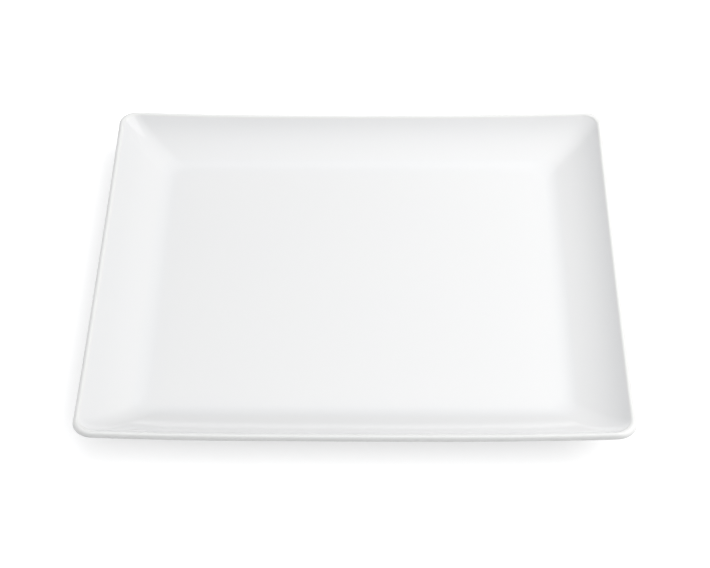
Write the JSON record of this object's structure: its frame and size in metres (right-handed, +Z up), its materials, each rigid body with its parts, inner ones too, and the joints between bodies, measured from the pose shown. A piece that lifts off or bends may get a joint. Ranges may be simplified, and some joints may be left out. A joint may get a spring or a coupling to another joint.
{
  "type": "salad plate",
  "caption": "Rectangular white salad plate with a flat well, concave mitred walls, a thin rim raised at its corners and a bare foot ring.",
  "frame": {"origin": "on the table under the middle of the plate", "axes": "+Z up, +X along the longer side, +Y along the shorter side and away from the picture's viewer"},
  "size_m": [0.23, 0.21, 0.0202],
  "materials": {
    "fired_porcelain": "bare fired porcelain, matt and fine-grained",
    "white_glaze": "clear gloss glaze over white porcelain",
    "base_glaze": "clear gloss glaze over white porcelain, inside the foot ring"
  },
  "bodies": {
    "root": {"porcelain_body": "fired_porcelain", "plate_glaze": "white_glaze", "base_glaze": "base_glaze"}
  },
  "joints": []
}
